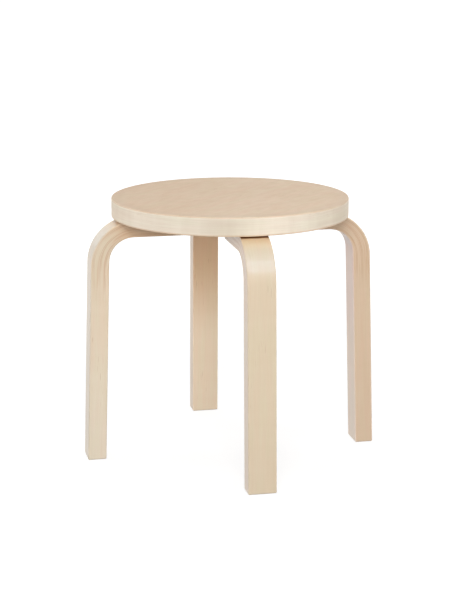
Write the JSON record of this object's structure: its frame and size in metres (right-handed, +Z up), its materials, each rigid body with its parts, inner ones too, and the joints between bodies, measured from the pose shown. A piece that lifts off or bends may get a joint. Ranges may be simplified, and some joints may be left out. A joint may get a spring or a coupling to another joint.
{
  "type": "stacking stool",
  "caption": "Small stacking stool with a round veneered birch seat on bent birch L-legs, each slotted and laminated at the bend and screwed up into the underside of the seat.",
  "frame": {"origin": "on the floor, under the middle of the seat", "axes": "+Z up; the legs stand on the X and Y axes, the front one towards -Y and the right one towards +X"},
  "size_m": [0.3864, 0.3864, 0.34],
  "materials": {
    "birch_face": "satin clear lacquer, fine grain",
    "birch_band": "satin clear lacquer, grain along the rim",
    "birch_leg": "satin clear lacquer, grain along the leg and round the bend",
    "birch_bend_veneer": "satin clear lacquer, edge grain with thin glue lines",
    "core_board": "raw board, inside the seat",
    "screw_steel": "zinc plated"
  },
  "bodies": {
    "root": {"seat_top_veneer": "birch_face", "seat_core": "core_board", "seat_edge_band": "birch_band", "seat_underside_veneer": "birch_face", "leg_front": "birch_leg", "leg_right": "birch_leg", "leg_back": "birch_leg", "leg_left": "birch_leg", "bend_veneer_front_1": "birch_bend_veneer", "bend_veneer_front_2": "birch_bend_veneer", "bend_veneer_front_3": "birch_bend_veneer", "bend_veneer_front_4": "birch_bend_veneer", "bend_veneer_front_5": "birch_bend_veneer", "bend_veneer_right_1": "birch_bend_veneer", "bend_veneer_right_2": "birch_bend_veneer", "bend_veneer_right_3": "birch_bend_veneer", "bend_veneer_right_4": "birch_bend_veneer", "bend_veneer_right_5": "birch_bend_veneer", "bend_veneer_back_1": "birch_bend_veneer", "bend_veneer_back_2": "birch_bend_veneer", "bend_veneer_back_3": "birch_bend_veneer", "bend_veneer_back_4": "birch_bend_veneer", "bend_veneer_back_5": "birch_bend_veneer", "bend_veneer_left_1": "birch_bend_veneer", "bend_veneer_left_2": "birch_bend_veneer", "bend_veneer_left_3": "birch_bend_veneer", "bend_veneer_left_4": "birch_bend_veneer", "bend_veneer_left_5": "birch_bend_veneer", "leg_screws": "screw_steel"}
  },
  "joints": []
}
